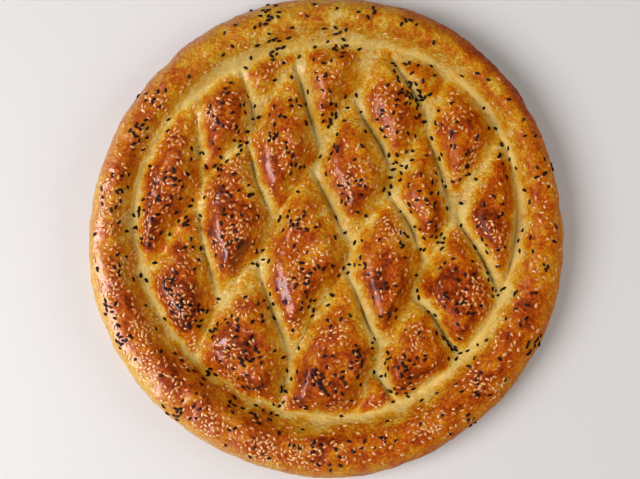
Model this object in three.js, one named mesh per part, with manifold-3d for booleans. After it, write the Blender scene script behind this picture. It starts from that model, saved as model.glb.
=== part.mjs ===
// Ramadan pide: a round leavened flatbread with a raised rim, a ring groove inside it and a field
// of puffed lozenge pillows between two crossing sets of finger-pressed grooves, sprinkled with
// sesame and nigella seeds. It is one piece, resting on its flat base.
// Millimetres, +Z up. The origin is the centre of the base on the table, and +Y points the way the
// pillows' gently rising ends point.
import * as THREE from "three";
import { mergeVertices } from "three/addons/utils/BufferGeometryUtils.js";
import Module from "manifold-3d";

// Loaf
const LOAF_RADIUS = 140; // at the widest point of the side
const RIM_HEIGHT = 30; // crest of the rim above the table
const PILLOW_HEIGHT = 27; // middle of a pillow above the table
const GROOVE_HEIGHT = 13; // floor of a pressed groove above the table
const BULGE_HEIGHT = 11; // height at which the side is widest
const BASE_TUCK = 7; // how far the side curls in from there down to the base
const RIM_CREST = 0.52; // place of the rim's crest, as a share of the rim's width from the ring groove
const SIDE_ROUNDNESS = 2.05; // superellipse power of the rim's outer flank: 2 is a plain ellipse

// Hand-shaped unevenness of a circle: how many waves go round, their height and where one peaks
const OUTLINE_WAVES = [
  { count: 2, size: 1.1, peakDeg: 69 },
  { count: 3, size: 0.7, peakDeg: 68 },
  { count: 5, size: 0.7, peakDeg: 56 },
];

// Ring groove between the rim and the field of pillows. It is a soft valley that turns into a
// crease at two sides, and its floor rises at a third.
const RING_RADIUS = 111;
const RING_WAVES = [
  { count: 1, size: 5.9, peakDeg: 84 },
  { count: 2, size: 1.9, peakDeg: 25 },
  { count: 3, size: 2.7, peakDeg: 43 },
];
const RING_CRISPNESS = 0.08; // at its softest
const RING_CRISP_SIDES = [
  { sideDeg: -15, gain: 0.45 },
  { sideDeg: 172, gain: 0.15 },
];
const CRISP_NARROWNESS = 4;
const RING_SHALLOWS = 5; // how much higher its floor is at the shallow side
const SHALLOW_SIDE_DEG = 135;
const SHALLOW_NARROWNESS = 3;
const SHALLOW_START = 0.7; // share of the ring's radius at which the floor of the grooves starts to rise

// Pillows. A groove runs half way between each two neighbours, measured with lengths along the
// pillows' long axis counted short, so that the cells come out as tall lozenges.
const PILLOWS = [
  [-56, 75.5],
  [-95.5, 31],
  [-29, 59.5],
  [4, 112.5],
  [37.5, 72],
  [74, 57],
  [21, 42.5],
  [54, 27],
  [98.5, 14.5],
  [-53.5, 19.5],
  [-12.5, -16.5],
  [34, -11],
  [76, -30],
  [-87.5, -29.5],
  [-49.5, -73],
  [2, -69.5],
  [57, -76.5],
  [36, -127.5],
  [56.5, 109.5],
  [-39, 101.5],
].map(([x, y]) => new THREE.Vector2(x, y));
const LONG_AXIS_DEG = 74.4;
const LONG_AXIS_SHARE = 0.445; // what a length along the long axis counts against one across it
const PILLOW_TILT = 0.26; // share of its rise by which a pillow is lower at its far end
const PILLOW_TILT_REACH = 45; // distance along the long axis over which the tilt goes on

// Groove shape. A crisp groove is a crease between two round shoulders, and a soft one a shallow
// valley. Grooves that fall to the right are crisp, and those that rise to the right are soft.
const GROOVE_REACH = 17; // from the groove's line to the pillow's shoulder
const CREASE_POWER = 0.75; // of the crease's rise: 0.5 is a round shoulder that starts upright
const CREASE_LEAN = 0.4; // how much gentler a crisp groove rises on the side towards +X
const VALLEY_REACH = 0.8; // share of the reach at which a soft groove has risen
const SOFT_LIFT = 0.16; // share of the depth that the softest groove lacks
const FAINT_GROOVES = [
  { pair: [4, 7], lift: 0.5 },
  { pair: [4, 18], lift: 0.2 },
]; // pairs of pillows that run into one another

// Waves by which the grooves stray from straight lines: how far each moves a point along X or Y, how
// fast it goes on in both directions over the length, and its phase
const WOBBLE_LENGTH = 14;
const WOBBLE_ALONG_X = [
  { size: 1.7, overX: 0.54, overY: -0.32, phase: 3.4 },
  { size: 0.2, overX: 1.4, overY: -3.0, phase: 0.7 },
];
const WOBBLE_ALONG_Y = [
  { size: 1.6, overX: 1.2, overY: -1.3, phase: 1.4 },
  { size: 1.2, overX: -0.2, overY: -0.7, phase: 5.0 },
  { size: 1.8, overX: 2.6, overY: 0.45, phase: 1.6 },
];

// Mesh of the loaf: square rings of a grid, each of which becomes a ring of the loaf
const FIELD_RINGS = 22;
const RIM_RINGS = 7;
const TUCK_RINGS = 2;
const RINGS = FIELD_RINGS + RIM_RINGS + TUCK_RINGS;
const GROOVE_PULL = 2.5; // corners of the grid within this distance of a groove's line are moved onto it

// Seeds that are fused to the crust, spread on a sunflower spiral
const SEED_PLACES = 140;
const SEED_REACH = 131; // largest distance of a seed from the middle
const SEED_TURN = Math.PI * (3 - Math.sqrt(5));
const SEED_LOWEST = 19; // no seed lies lower than this, which keeps them out of the grooves
const SEED_SIDES = 5;
const SEED_BANDS = 3;
const SEED_SUNK = 0.4; // share of its thickness that lies below the crust
const SESAME = new THREE.Vector3(3.1, 2.0, 1.1);
const NIGELLA = new THREE.Vector3(3.2, 2.1, 1.6);
const SEED_TAPER = 0.3; // how much narrower its pointed end is
const SEED_WELD = 1e-3; // corners this close together become one

// Draws of the seeds' turns: the first state, and the factor and range of each step to the next
const DRAW_START = 41;
const DRAW_FACTOR = 16807;
const DRAW_RANGE = 2147483647;

// Finish
const CRUST_COLOUR = 0xc67a26;
const CRUST_ROUGHNESS = 0.55;

const { degToRad, clamp, smoothstep } = THREE.MathUtils;
const up = new THREE.Vector3(0, 0, 1);

// Sum of the waves round a circle at an angle.
function unevenness(waves, angle) {
  return waves.reduce(
    (sum, { count, size, peakDeg }) => sum + size * Math.cos(count * (angle - degToRad(peakDeg))),
    0,
  );
}

const outerRadius = (angle) => LOAF_RADIUS + unevenness(OUTLINE_WAVES, angle);
const ringRadius = (angle) => RING_RADIUS + unevenness(RING_WAVES, angle);

// A vector with its share along the long axis shortened, once for each side of a dot product.
const longAxis = new THREE.Vector2(1, 0).rotateAround(new THREE.Vector2(), degToRad(LONG_AXIS_DEG));
function shortened(vector) {
  const along = vector.dot(longAxis) * (LONG_AXIS_SHARE ** 2 - 1);
  return vector.clone().addScaledVector(longAxis, along);
}

function pillowDistanceSquared(point, pillow) {
  const offset = point.clone().sub(pillow);
  return offset.dot(shortened(offset));
}

// 1 at a side of the loaf, falling to 0 a quarter turn away from it.
function facing(angle, sideDeg, narrowness) {
  return clamp(Math.cos(angle - degToRad(sideDeg)), 0, 1) ** narrowness;
}

// Rise from a groove's line to the shoulder, 0 to 1, at a share of the way.
function shoulder(share, crispness) {
  const t = clamp(share, 0, 1);
  const crease = (t * (2 - t)) ** CREASE_POWER;
  return crispness * crease + (1 - crispness) * smoothstep(t, 0, VALLEY_REACH);
}

function ringShoulder(share, angle) {
  const crispness = RING_CRISP_SIDES.reduce(
    (sum, { sideDeg, gain }) => sum + gain * facing(angle, sideDeg, CRISP_NARROWNESS),
    RING_CRISPNESS,
  );
  return shoulder(share, crispness);
}

// Height of the floor of the grooves at a radius given as a share of the ring groove's.
function floorHeight(ringShare, angle) {
  const shallows = RING_SHALLOWS * facing(angle, SHALLOW_SIDE_DEG, SHALLOW_NARROWNESS);
  return GROOVE_HEIGHT + shallows * smoothstep(ringShare, SHALLOW_START, 1);
}

// A point moved about irregularly, as by a hand that doesn't keep to straight lines.
function strayed(point) {
  const { x, y } = point.clone().divideScalar(WOBBLE_LENGTH);
  const move = (waves) =>
    waves.reduce(
      (sum, { size, overX, overY, phase }) => sum + size * Math.sin(overX * x + overY * y + phase),
      0,
    );
  return new THREE.Vector2(point.x + move(WOBBLE_ALONG_X), point.y + move(WOBBLE_ALONG_Y));
}

// The pillow that a point lies on, and the grooves between it and every other one: how far off each
// runs, which way, how steeply it rises on this side and what share of the depth it lacks.
function cellAt(point) {
  const place = strayed(point);
  const squares = PILLOWS.map((pillow) => pillowDistanceSquared(place, pillow));
  const own = squares.indexOf(Math.min(...squares));
  const grooves = PILLOWS.flatMap((other, index) => {
    if (index === own) return [];
    const across = shortened(other.clone().sub(PILLOWS[own]));
    const gap = (squares[index] - squares[own]) / (2 * across.length());
    const normal = across.normalize();
    const crispness = 0.5 + normal.x * normal.y; // 1 for a groove that falls at 45 degrees
    const steepness = (crispness * (1 + CREASE_LEAN * normal.x)) / (1 + CREASE_LEAN);
    const faint = FAINT_GROOVES.find(({ pair }) => pair.includes(own) && pair.includes(index));
    return [{ gap, normal, steepness, lift: faint ? faint.lift : SOFT_LIFT * (1 - crispness) }];
  });
  return { pillow: PILLOWS[own], grooves };
}

function fieldHeight(point) {
  const { pillow, grooves } = cellAt(point);
  const north = point.clone().sub(pillow).dot(longAxis) / PILLOW_TILT_REACH;
  const tilt = 1 - PILLOW_TILT * clamp(north, -1, 1);
  const angle = point.angle();
  const ring = ringRadius(angle);
  const rise = grooves.reduce(
    (share, { gap, steepness, lift }) =>
      share * (lift + (1 - lift) * shoulder(gap / GROOVE_REACH, steepness)),
    ringShoulder((ring - point.length()) / GROOVE_REACH, angle),
  );
  const floor = floorHeight(point.length() / ring, angle);
  return floor + (PILLOW_HEIGHT - floor) * rise * tilt;
}

// A point of the field, moved onto the nearest groove's line if it lies close to it.
function drawnToGroove(point) {
  const { grooves } = cellAt(point);
  const nearest = grooves.reduce((best, groove) => (groove.gap < best.gap ? groove : best));
  if (nearest.gap > GROOVE_PULL) return point;
  return point.clone().addScaledVector(nearest.normal, nearest.gap);
}

// Height of the rim at a share of its width, from the ring groove at 0 to the widest point at 1.
function rimHeight(share, angle) {
  if (share < RIM_CREST) {
    const floor = floorHeight(1, angle);
    return floor + (RIM_HEIGHT - floor) * ringShoulder(share / RIM_CREST, angle);
  }
  const out = (share - RIM_CREST) / (1 - RIM_CREST);
  const round = (1 - Math.min(out, 1) ** SIDE_ROUNDNESS) ** (1 / SIDE_ROUNDNESS);
  return BULGE_HEIGHT + (RIM_HEIGHT - BULGE_HEIGHT) * round;
}

// Height of the top of the loaf above any point inside its outline.
function topHeight(point) {
  const angle = point.angle();
  const inner = ringRadius(angle);
  const radius = point.length();
  if (radius < inner) return fieldHeight(point);
  return rimHeight((radius - inner) / (outerRadius(angle) - inner), angle);
}

// Point of the loaf's skin on a ring, counted from the middle of the top round to the base.
function skinPoint(ring, angle) {
  const inner = ringRadius(angle);
  const outer = outerRadius(angle);
  if (ring <= FIELD_RINGS) {
    const radius = (inner * ring) / FIELD_RINGS;
    const even = new THREE.Vector2(radius * Math.cos(angle), radius * Math.sin(angle));
    const flat = ring < FIELD_RINGS ? drawnToGroove(even) : even;
    return new THREE.Vector3(flat.x, flat.y, fieldHeight(flat));
  }
  if (ring <= FIELD_RINGS + RIM_RINGS) {
    const share = (1 - Math.cos((Math.PI * (ring - FIELD_RINGS)) / RIM_RINGS)) / 2;
    const radius = inner + (outer - inner) * share;
    return new THREE.Vector3(radius * Math.cos(angle), radius * Math.sin(angle), rimHeight(share, angle));
  }
  const turn = (Math.PI / 2) * ((ring - FIELD_RINGS - RIM_RINGS) / TUCK_RINGS);
  const radius = outer - BASE_TUCK * (1 - Math.cos(turn));
  const height = BULGE_HEIGHT * (1 - Math.sin(turn));
  return new THREE.Vector3(radius * Math.cos(angle), radius * Math.sin(angle), height);
}

// Ring and angle of a corner of the square grid, so that each square ring becomes a circle.
function ringAndAngle(x, y) {
  const ring = Math.max(Math.abs(x), Math.abs(y));
  if (ring === 0) return [0, 0];
  const quarter = Math.PI / 4;
  if (ring === Math.abs(x)) return [ring, quarter * (y / x) + (x < 0 ? Math.PI : 0)];
  return [ring, 2 * quarter - quarter * (x / y) + (y < 0 ? Math.PI : 0)];
}

function onlyPositions(geometry) {
  geometry.deleteAttribute("normal");
  geometry.deleteAttribute("uv");
  return geometry;
}

// How far the middle of a straight edge between two points lies off the top of the loaf.
function edgeMiss(one, other) {
  const middle = one.clone().lerp(other, 0.5);
  return Math.abs(middle.z - topHeight(new THREE.Vector2(middle.x, middle.y)));
}

// The grid's triangles, with each square split along the diagonal that follows the loaf best.
function splitSquares(triangles, points) {
  const split = [];
  for (let i = 0; i < triangles.length; i += 6) {
    const [a, b, d, , c] = triangles.slice(i, i + 6);
    const along = edgeMiss(points[a], points[c]) < edgeMiss(points[b], points[d]);
    split.push(...(along ? [a, b, c, a, c, d] : [a, b, d, b, c, d]));
  }
  return split;
}

// The loaf without seeds: a grid wrapped over the top and side, closed by a flat fan for a base.
function loafGeometry() {
  const skin = onlyPositions(new THREE.PlaneGeometry(2 * RINGS, 2 * RINGS, 2 * RINGS, 2 * RINGS));
  const corners = skin.getAttribute("position");
  const points = [];
  const edge = [];
  for (let i = 0; i < corners.count; i++) {
    const [ring, angle] = ringAndAngle(Math.round(corners.getX(i)), Math.round(corners.getY(i)));
    points.push(skinPoint(ring, angle));
    if (ring === RINGS) edge.push({ index: i, angle });
  }
  edge.sort((one, other) => one.angle - other.angle);
  const middle = points.push(new THREE.Vector3()) - 1;
  const fan = edge.flatMap(({ index }, i) => [middle, edge[(i + 1) % edge.length].index, index]);
  const loaf = new THREE.BufferGeometry().setFromPoints(points);
  loaf.setIndex([...splitSquares(skin.index.array, points), ...fan]);
  return loaf;
}

// A low, tapered seed of one kind, lying along X with its middle at the origin.
function seedGeometry(size) {
  const seed = onlyPositions(new THREE.SphereGeometry(0.5, SEED_SIDES, SEED_BANDS));
  seed.rotateZ(Math.PI / 2);
  const points = seed.getAttribute("position");
  for (let i = 0; i < points.count; i++) {
    const narrow = 1 - SEED_TAPER * (points.getX(i) + 0.5);
    points.setXYZ(i, points.getX(i), points.getY(i) * narrow, points.getZ(i) * narrow);
  }
  return mergeVertices(seed.scale(size.x, size.y, size.z), SEED_WELD);
}

// Numbers from 0 to 1 that come out the same on every run.
function seededDraws() {
  let state = DRAW_START;
  return () => {
    state = (state * DRAW_FACTOR) % DRAW_RANGE;
    return state / DRAW_RANGE;
  };
}

// Every seed's geometry, turned to lie on the loaf's own faces.
function seedGeometries(loaf) {
  const mesh = new THREE.Mesh(loaf, new THREE.MeshBasicMaterial());
  const ray = new THREE.Raycaster();
  const draw = seededDraws();
  const kinds = [SESAME, NIGELLA].map((size) => ({ size, geometry: seedGeometry(size) }));
  const seeds = [];
  for (let place = 0; place < SEED_PLACES; place++) {
    const radius = SEED_REACH * Math.sqrt((place + 0.5) / SEED_PLACES);
    const above = new THREE.Vector3(radius, 0, 2 * RIM_HEIGHT).applyAxisAngle(up, place * SEED_TURN);
    const yaw = new THREE.Quaternion().setFromAxisAngle(up, 2 * Math.PI * draw());
    ray.set(above, up.clone().negate());
    const [hit] = ray.intersectObject(mesh);
    if (hit.point.z < SEED_LOWEST) continue;
    const { size, geometry } = kinds[place % kinds.length];
    const stand = new THREE.Quaternion().setFromUnitVectors(up, hit.face.normal);
    const middle = hit.point.addScaledVector(hit.face.normal, size.z * (0.5 - SEED_SUNK));
    const lying = geometry.clone().applyQuaternion(stand.multiply(yaw));
    seeds.push(lying.translate(middle.x, middle.y, middle.z));
  }
  return seeds;
}

const wasm = await Module();
wasm.setup();

function solidFrom(geometry) {
  const vertProperties = new Float32Array(geometry.getAttribute("position").array);
  const triVerts = new Uint32Array(geometry.index.array);
  return new wasm.Manifold(new wasm.Mesh({ numProp: 3, vertProperties, triVerts }));
}

function geometryFrom(solid) {
  const { vertProperties, triVerts } = solid.getMesh();
  const geometry = new THREE.BufferGeometry();
  geometry.setAttribute("position", new THREE.BufferAttribute(vertProperties, 3));
  geometry.setIndex(new THREE.BufferAttribute(triVerts, 1));
  geometry.computeVertexNormals();
  return geometry;
}

const loaf = loafGeometry();
const seeded = seedGeometries(loaf).reduce((solid, seed) => solid.add(solidFrom(seed)), solidFrom(loaf));

const crust = new THREE.MeshStandardMaterial({
  color: CRUST_COLOUR,
  roughness: CRUST_ROUGHNESS,
  metalness: 0,
});
const pide = new THREE.Mesh(geometryFrom(seeded), crust);
pide.name = "pide";

const part = new THREE.Group();
part.add(pide);

export default part;
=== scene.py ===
"""Ramadan pide: the looks of a round seeded flatbread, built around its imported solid.

The loaf is one skin, wrapped from a grid over a field of lozenge pillows between two crossing sets of
pressed grooves, a ring groove round them and a raised rim. Sesame and nigella seeds lie on the finished
crust. Metres, +Z up.
"""

import math

import bpy
import numpy as np
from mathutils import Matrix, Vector
from mathutils.bvhtree import BVHTree


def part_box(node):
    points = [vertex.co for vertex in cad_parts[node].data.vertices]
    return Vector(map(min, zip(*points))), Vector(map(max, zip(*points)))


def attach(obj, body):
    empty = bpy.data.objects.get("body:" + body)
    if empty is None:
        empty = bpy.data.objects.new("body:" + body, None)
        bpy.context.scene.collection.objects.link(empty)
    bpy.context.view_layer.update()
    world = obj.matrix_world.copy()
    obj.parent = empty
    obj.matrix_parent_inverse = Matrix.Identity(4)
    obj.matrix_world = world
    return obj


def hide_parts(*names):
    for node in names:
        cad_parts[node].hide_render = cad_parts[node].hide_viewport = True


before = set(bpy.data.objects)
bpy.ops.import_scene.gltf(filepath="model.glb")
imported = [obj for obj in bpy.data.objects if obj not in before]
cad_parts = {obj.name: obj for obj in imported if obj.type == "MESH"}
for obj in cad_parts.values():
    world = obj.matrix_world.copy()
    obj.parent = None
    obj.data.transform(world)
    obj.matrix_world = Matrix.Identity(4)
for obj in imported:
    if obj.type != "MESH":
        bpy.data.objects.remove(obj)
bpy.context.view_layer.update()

bl_info = {
    "name": "Ramadan pide",
    "version": (1, 0, 0),
    "blender": (4, 5, 0),
    "location": "View3D > Sidebar > Pide",
    "description": "Models a round flatbread with a pressed lattice and a scatter of seeds",
    "category": "Add Mesh",
}

MM = 0.001
NODE = "pide"
BODY = "root"

# The frame gives the loaf's mean radius
BOX_LOW, BOX_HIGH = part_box(NODE)
LOAF_RADIUS = (BOX_HIGH.x - BOX_LOW.x + BOX_HIGH.y - BOX_LOW.y) / 4

# Hand-shaped unevenness of a circle: waves round it, their height in mm and the angle of one peak
OUTLINE_WAVES = ((2, 1.1, 69), (3, 0.7, 68), (5, 0.7, 56))
RING_WAVES = ((1, 5.9, 84), (2, 1.9, 25), (3, 2.7, 43))

# What differs from side to side of the loaf: the angle of each side in degrees, how narrow it is, and
# what it adds
RING_CRISP_SIDES = ((-15, 4, 0.45), (172, 4, 0.15))  # how far the ring groove is a crease
RING_SHALLOW_SIDES = ((135, 3, 1),)  # share of the ring's shallows by which its floor is higher
RING_BROWN_SIDES = ((105, 2, 0.05), (232, 10, 0.15))  # browning of the ring groove's floor
RING_PAINTED_SHADE_SIDES = ((85, 2, 0.8), (256, 3, 0.75))  # painted shade on the ring groove's floor, darker at these sides
RING_PALE_SIDES = ((185, 6, 0.7), (232, 8, -0.5))  # share by which the pale dough inside it is wider
SLOPE_PALE_SIDES = ((-20, 2, 0.4), (115, 6, 0.35), (205, 3, -0.16))  # share of the rim's slope that is pale
SLOPE_BROWN_SIDES = ((190, 3, 0.13),)  # browning of the rim's inner slope
CREST_BROWN_SIDES = ((84, 12, -0.05), (-35, 6, -0.06), (138, 6, 0.09))  # browning of the rim's crest
RIM_PAINTED_SHADE_SIDES = ((88, 3, 0.45),)  # painted shade on the rim
FLANK_FADE_SIDES = ((215, 1.5, 0.4),)  # share of its browning that the rim's outer flank loses
FLANK_BROWN_SIDES = ((205, 1, -0.2),)  # browning that the outer flank has of its own
SCORCHED_SIDES = ((47, 12, 0.45),)  # browning of a scorched patch on the outer flank
SESAME_RIM_SIDES = ((230, 1, 1.4), (50, 1, -0.75))  # share by which sesame lies thicker on the rim
SESAME_CLING_SIDES = ((200, 2, 0.22),)  # thickness of the sesame there, however pale the crust

# Where a change begins and ends
VALLEY_SPAN = (0, 0.8)  # of the way from a soft groove's line to a pillow's shoulder
CREASE_SPAN = (0, 0.5)  # of a groove's reach, for the creases to deepen inwards from the ring groove
SHALLOW_SPAN = (0.7, 1)  # of the ring's radius
RING_END_SPAN = (0, 0.3)  # of the rim's width
CREST_SPAN = (0.4, 1)  # of the rise of the rim's inner slope
SLOPE_END_SPAN = (0, 0.3)  # of the width of the rim's outer flank, as the next five are
CREST_END_SPAN = (0.2, 0.85)
FLANK_FADE_SPAN = (0.4, 0.9)
FLANK_BROWN_SPAN = (0.35, 0.9)
SCORCHED_SPAN = (0.1, 0.6)
FOOT_SPAN = (0.5, 1)
SESAME_RIM_SPAN = (0.8, 0.88)  # of the loaf's radius

CREASE_POWER = 0.75  # the less it is, the steeper a crisp groove's flanks rise from its line
SLOPE_STRAY = 0.06 / MM  # share of its rise by which the slope's browning strays, for each metre of a blotch

# Pillows: X and Y of each one's seat in mm, how far it browned in the oven, and how wide its pale flanks are
PILLOWS = np.array((
    (-56, 75.5, 0.95, 1.2),
    (-95.5, 31, 1.05, 1.0),
    (-29, 59.5, 0.89, 0.9),
    (4, 112.5, 0.66, 1.2),
    (37.5, 72, 0.90, 1.3),
    (74, 57, 0.86, 1.0),
    (21, 42.5, 0.82, 1.4),
    (54, 27, 0.88, 1.0),
    (98.5, 14.5, 0.98, 1.4),
    (-53.5, 19.5, 1.06, 1.1),
    (-12.5, -16.5, 0.84, 1.1),
    (34, -11, 0.96, 1.6),
    (76, -30, 1.08, 1.5),
    (-87.5, -29.5, 1.16, 1.0),
    (-49.5, -73, 0.94, 1.0),
    (2, -69.5, 0.96, 1.5),
    (57, -76.5, 1.05, 1.4),
    (36, -127.5, 1.80, 0.75),
    (56.5, 109.5, 0.78, 1.0),
    (-39, 101.5, 0.62, 1.0),
))
# Pairs of pillows that run into one another: the share of the groove's depth that is missing
FAINT_GROOVES = {(4, 7): 0.5, (4, 18): 0.2}

# Waves by which the lines of the grooves stray, and by which the edges of the browning stray from them: how
# far each moves a point along X or Y in mm, how fast it goes on in both directions over the length, and its
# phase
WOBBLE_LENGTH = 14 * MM
WOBBLE_ALONG_X = ((1.7, 0.54, -0.32, 3.4), (0.2, 1.4, -3.0, 0.7))
WOBBLE_ALONG_Y = ((1.6, 1.2, -1.3, 1.4), (1.2, -0.2, -0.7, 5.0), (1.8, 2.6, 0.45, 1.6))
BLOTCH_LENGTH = 6.3 * MM
BLOTCH_ALONG_X = ((0.75, 0, 1.3, 0.9), (0.75, 2.1, 1.0, 0), (0.45, -1.7, 3.1, 0))
BLOTCH_ALONG_Y = ((0.75, 1.7, 0, 2.0), (0.75, 1.0, -1.9, 0), (0.45, 2.7, 1.9, 0))

# Grid of the loaf's skin: rings over the field, the rim and the tuck under its side
FIELD_RINGS = 106
RIM_RINGS = 34
TUCK_RINGS = 8
SKIN_RINGS = FIELD_RINGS + RIM_RINGS + TUCK_RINGS
BASE_EDGE = 2 * MM  # width of the faces round the flat base

# Relief of the crust: its name, the size of its features, its height and its levels of finer detail
RELIEFS = (
    ("dough unevenness", 24 * MM, 5 * MM, 1),
    ("crust dimples", 9 * MM, 2.6 * MM, 2),
    ("crust wrinkles", 3.5 * MM, 1.3 * MM, 1),
)
SIDE_RELIEF = 0.5  # share of it that the side has

# Noises: the size of their features, their detail and, where they aren't plain, their roughness and
# distortion
CLOUDS = (18 * MM, 3, 0.55, 0.6)
MOTTLE = (6 * MM, 4, 0.65, 0.5)
GRAIN = (1.9 * MM, 4, 0.65)
DUSTING = (9 * MM, 5, 0.7)
SCORCH = (15 * MM, 4, 0.65)
SESAME_STREAKS = (0.9 * MM, 2)
NIGELLA_WRINKLES = (0.5 * MM, 3, 0.7)
FLOOR_CLOUDS = (400 * MM, 3)
BLISTER_SIZE = 3 * MM

# Values that a finish stretches to 0 and 1
NOISE_SPAN = (0.3, 0.7)
DUSTING_SPAN = (0.48, 0.72)
SCORCH_SPAN = (0.52, 0.75)
CRUST_SPAN = (-0.12, 0.35)  # browning over which dough becomes crust
WASH_SPAN = (90 * MM, -90 * MM)  # X from where the egg wash is thinnest to where it is thickest
HEARTH_SPAN = (0.55, 0.95)  # of the tuck, from the side's finish to the underside's
TOAST_SPAN = (0.1, 0.95)

# Crust: browning at which each colour is reached, and how far the noises change its looks
COLOUR_STOPS = (0.0, 0.2, 0.46, 0.72, 1.0)
CLOUD_BROWNING = 0.42
MOTTLE_BROWNING = 0.32
GRAIN_BROWNING = 0.32
FLANK_EVENNESS = 0.4  # share of the clouds and the mottle that the rim's outer flank lacks
DOUGH_COARSENESS = 0.3  # share of the crust's grain that pale dough has
PAINTED_SHADE_DEPTH = 0.32  # share of the pressed colour, a painted shade, that the most shaded dough takes
FLOUR_COVER = 0.7
SCORCH_COVER = 0.75
CRUST_ROUGHNESS = 0.56
GRAIN_ROUGHNESS = 0.16
CRUST_SHINE = 0.05
THIN_WASH = 0.1  # share of the egg wash that is left where it is thinnest
PATCHY_WASH = 0.4  # share of the egg wash that is left where it is patchy
WASH_ROUGHNESS = 0.3
MOTTLE_HEIGHT = 0.3  # share of the bump's depth, as the next two are
GRAIN_HEIGHT = 0.48
BLISTER_HEIGHT = 0.42
CRUST_BUMP = (1.3 * MM, 1.0)  # depth and strength

# Seeds and floor: how the noises change their colour, roughness and relief
STREAK_TOAST = 0.35
SESAME_ROUGHNESS = 0.24
STREAK_ROUGHNESS = 0.14
SESAME_SHINE = 0.6
SESAME_BUMP = (0.12 * MM, 0.4)
TONE_WEAR = 0.14
WRINKLE_WEAR = 0.08
NIGELLA_ROUGHNESS = 0.55
WRINKLE_ROUGHNESS = 0.2
NIGELLA_SHINE = 0.15
NIGELLA_BUMP = (0.15 * MM, 0.7)
FLOOR_SHADE = 0.94
FLOOR_ROUGHNESS = 0.7
CLOUD_ROUGHNESS = 0.1

# Where nigella seeds fell thickly: X and Y in mm, and how many lie there
NIGELLA_CLUMPS = (
    (-36, 128, 14), (5, 116, 7), (45, 86, 12), (50, 80, 10), (11, 75, 6), (2, 68, 6), (-66, 72, 7),
    (-51, 56, 6), (-65, 41, 7), (-110, 60, 9), (-87, -100, 9), (75, -67, 10), (120, -61, 10), (64, 0, 6),
    (-93, -28, 8), (-81, -46, 8), (-46, -70, 8), (-8, -82, 8), (0, -82, 6), (45, -74, 8), (77, -40, 7),
    (99, -31, 6), (-34, 110, 6), (-125, -43, 8), (-117, -60, 8), (-124, -18, 7), (43, 40, 6), (-4, 96, 6),
    (-16, 7, 6), (15, 28, 6), (17, -17, 6),
)
CLUMP_SPREAD = 3.6 * MM
CLUMP_TRIES = 3  # places tried for each seed of a clump
PINCH_SEEDS = (2, 6)  # fewest seeds in a small clump, and one more than the most

# How thickly seeds lie on pale dough, what browning and grooves add, and what lies away from the handfuls
NIGELLA_ON_DOUGH = 0.3
NIGELLA_ON_CRUST = 0.6
NIGELLA_IN_GROOVES = 0.25
SESAME_ON_DOUGH = 0.03
SESAME_ASTRAY = 0.09
HANDFUL_RADIUS = 6.5 * MM
HANDFUL_SPACING = 14 * MM

# Least distance between two seeds as a share of their length, and shares of that for clumps
SESAME_SPACING = 0.62
NIGELLA_SPACING = 0.8
PINCH_SPACING = 3  # between the middles of two small clumps
CLUMP_SPACING = 0.7  # between two seeds of a clump

# Shape of a seed: segments and rings of its mesh, how far it tapers, and the share of its lower half that
# isn't cut flat
NIGELLA_SHAPE = (5, 6, 0.36, 0.8)
SESAME_SHAPE = (7, 6, 0.42, 1.0)
TAPER_POWER = 1.5
SEED_RADIUS = 0.5  # of a seed whose length, width and thickness are 1
NIGELLA_EDGE = 35  # angle in degrees past which an edge of a nigella seed is sharp

SEED_GROWTH = (0.85, 1.15)  # smallest and largest seed, as shares of the mean
SEED_LEAN = 0.16  # how far a seed leans from the crust's normal
TONE_BY_BAKE = 0.75  # how far a seed's tone follows the browning under it
TONE_SPREAD = 0.22
BARE_EDGE = 5 * MM  # outermost width of the loaf that no lone seed is drawn on
DROP_HEIGHT = 60 * MM  # height from which the seeds fall onto the crust
DRAWS_AT_ONCE = 4000
NIGELLA_START = 1  # added to the random seed, so that the kinds are drawn apart
SESAME_START = 2

WHITE = (1.0, 1.0, 1.0, 1.0)


def from_screen(red, green, blue):
    """A colour given in screen values of 0 to 255, turned into light by the sRGB curve."""
    shares = (value / 255 for value in (red, green, blue))
    return tuple(s / 12.92 if s <= 0.04045 else ((s + 0.055) / 1.055) ** 2.4 for s in shares)


def length(name, description, default):
    return bpy.props.FloatProperty(
        name=name, description=description, default=default, unit="LENGTH", precision=4)


def share(name, description, default):
    return bpy.props.FloatProperty(name=name, description=description, default=default, subtype="FACTOR")


def plain(name, description, default):
    return bpy.props.FloatProperty(name=name, description=description, default=default)


def degrees(name, description, default):
    return bpy.props.FloatProperty(
        name=name, description=description, default=math.radians(default), subtype="ANGLE")


def watts(name, description, default):
    return bpy.props.FloatProperty(name=name, description=description, default=default, unit="POWER")


def whole(name, description, default):
    return bpy.props.IntProperty(name=name, description=description, default=default)


def millimetres(name, description, default):
    return bpy.props.FloatVectorProperty(
        name=name, description=description, default=tuple(value * MM for value in default),
        subtype="XYZ", unit="LENGTH", precision=4)


def colour(name, description, default):
    return bpy.props.FloatVectorProperty(
        name=name, description=description, default=default, subtype="COLOR", size=3)


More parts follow.
